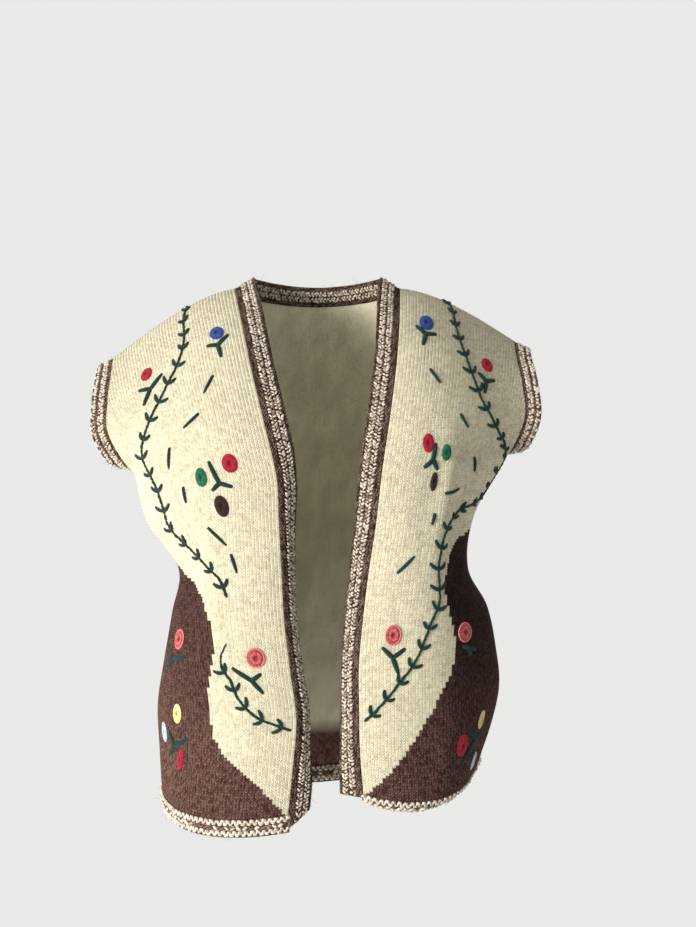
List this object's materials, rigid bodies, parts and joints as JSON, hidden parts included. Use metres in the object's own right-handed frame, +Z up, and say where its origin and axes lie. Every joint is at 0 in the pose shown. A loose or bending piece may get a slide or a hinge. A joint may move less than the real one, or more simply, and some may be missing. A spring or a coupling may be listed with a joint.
{
  "type": "knitted wool vest",
  "caption": "Open hip-length sleeveless knitted vest, worn shape and hollow, with ridged bands at front, neck, hem and armholes and raised floral embroidery.",
  "frame": {"origin": "midway between the two points where the shoulder seams meet the neck", "axes": "+X to the right as seen from the front, the front faces -Y, +Z up"},
  "size_m": [0.5464, 0.2589, 0.6696],
  "materials": {
    "cream": "stockinette knit in cream wool, brown wool at the lower side corners",
    "band": "garter knit in cream and dark brown wool",
    "vine": "matt wool yarn, dark teal green",
    "blue": "matt wool yarn, blue",
    "red": "matt wool yarn, red",
    "green": "matt wool yarn, green",
    "umber": "matt wool yarn, dark brown",
    "coral": "matt wool yarn, coral",
    "yellow": "matt wool yarn, yellow",
    "sky": "matt wool yarn, pale blue"
  },
  "bodies": {
    "root": {"front_right": "cream", "front_left": "cream", "back": "cream", "band_front_right": "band", "band_front_left": "band", "band_neck": "band", "hem_front_right": "band", "hem_front_left": "band", "hem_back": "band", "armhole_band_right": "band", "armhole_band_left": "band", "vine_right_upper": "vine", "vine_right_lower": "vine", "vine_left": "vine", "flower_right_blue": "blue", "flower_right_red_top": "red", "flower_right_green": "green", "flower_right_red_mid": "red", "flower_right_umber": "umber", "flower_right_coral_front": "coral", "flower_right_coral_side": "coral", "flower_right_yellow": "yellow", "flower_right_sky": "sky", "flower_right_red_low": "red", "flower_left_blue": "blue", "flower_left_red_top": "red", "flower_left_red_mid": "red", "flower_left_green": "green", "flower_left_umber": "umber", "flower_left_coral_front": "coral", "flower_left_coral_side": "coral", "flower_left_yellow": "yellow", "flower_left_red_low": "red", "flower_left_sky": "sky", "sprig_right_blue": "vine", "sprig_right_red": "vine", "sprig_right_trio": "vine", "sprig_right_coral": "vine", "sprig_right_coral_side": "vine", "sprig_right_low": "vine", "sprig_left_blue": "vine", "sprig_left_red": "vine", "sprig_left_trio": "vine", "sprig_left_coral": "vine", "sprig_left_coral_side": "vine", "sprig_left_low": "vine"}
  },
  "joints": []
}
